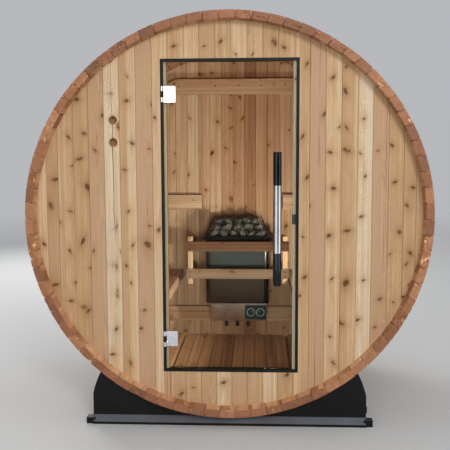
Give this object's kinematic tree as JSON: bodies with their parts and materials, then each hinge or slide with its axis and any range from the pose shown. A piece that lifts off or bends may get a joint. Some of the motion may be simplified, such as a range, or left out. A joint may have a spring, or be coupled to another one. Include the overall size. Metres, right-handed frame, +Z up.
{
  "type": "barrel sauna",
  "caption": "Round cedar barrel sauna with a hinged glass door, side benches, a guarded wall heater and black cradles.",
  "frame": {"origin": "on the ground below the middle of the barrel", "axes": "+X to the right as seen from the door, +Y from the door to the rear wall, +Z up"},
  "size_m": [1.8324, 1.219, 1.8863],
  "materials": {
    "cedar_staves": "sanded red cedar, untreated",
    "cedar_wall": "knotty red cedar boards, untreated",
    "cedar_room": "knotty red cedar, untreated",
    "cedar_floor": "cedar boards, untreated",
    "cradle_black": "moulded black, satin",
    "frame_black": "black, satin",
    "door_glass": "clear tempered",
    "hinge_chrome": "polished",
    "handle_metal": "dark polished tube",
    "catch_grey": "dark grey",
    "heater_steel": "stainless, brushed",
    "heater_black": "black, heat proof",
    "stone": "split grey rock",
    "dial_black": "black",
    "band_steel": "stainless strip"
  },
  "bodies": {
    "sauna": {"staves_top": "cedar_staves", "staves_upper_right": "cedar_staves", "staves_lower_right": "cedar_staves", "staves_bottom": "cedar_staves", "staves_lower_left": "cedar_staves", "staves_upper_left": "cedar_staves", "band_front": "band_steel", "band_rear": "band_steel", "cradle_front": "cradle_black", "cradle_rear": "cradle_black", "front_wall_left": "cedar_wall", "front_wall_right": "cedar_wall", "front_wall_over_door": "cedar_wall", "front_wall_under_door": "cedar_wall", "rear_wall": "cedar_wall", "vent_slide": "cedar_wall", "rear_cleats": "cedar_room", "front_cleats": "cedar_room", "floor_boards": "cedar_floor", "floor_joists": "cedar_floor", "left_bench_fascia": "cedar_room", "left_bench_slats": "cedar_room", "left_bench_ledgers": "cedar_room", "right_bench_fascia": "cedar_room", "right_bench_slats": "cedar_room", "right_bench_ledgers": "cedar_room", "door_frame": "frame_black", "door_stops": "cedar_room", "door_catch": "catch_grey", "hinge_blocks": "frame_black", "heater_body": "heater_steel", "heater_rim": "heater_black", "heater_stones": "stone", "stone_cage": "heater_black", "control_box": "heater_steel", "dial_panel": "dial_black", "cable_glands": "dial_black", "guard_posts": "cedar_room", "guard_front_rails": "cedar_room", "guard_side_rails": "cedar_room"},
    "door": {"door_glass": "door_glass", "hinge_leaves": "hinge_chrome", "outer_handle": "handle_metal", "inner_handle": "handle_metal"}
  },
  "joints": [
    {"name": "door_hinge", "type": "hinge", "parent": "sauna", "child": "door", "pos_m": [-0.2925, -0.5535, 0.97], "axis": [0, 0, -1], "range_deg": [0, 110]}
  ]
}
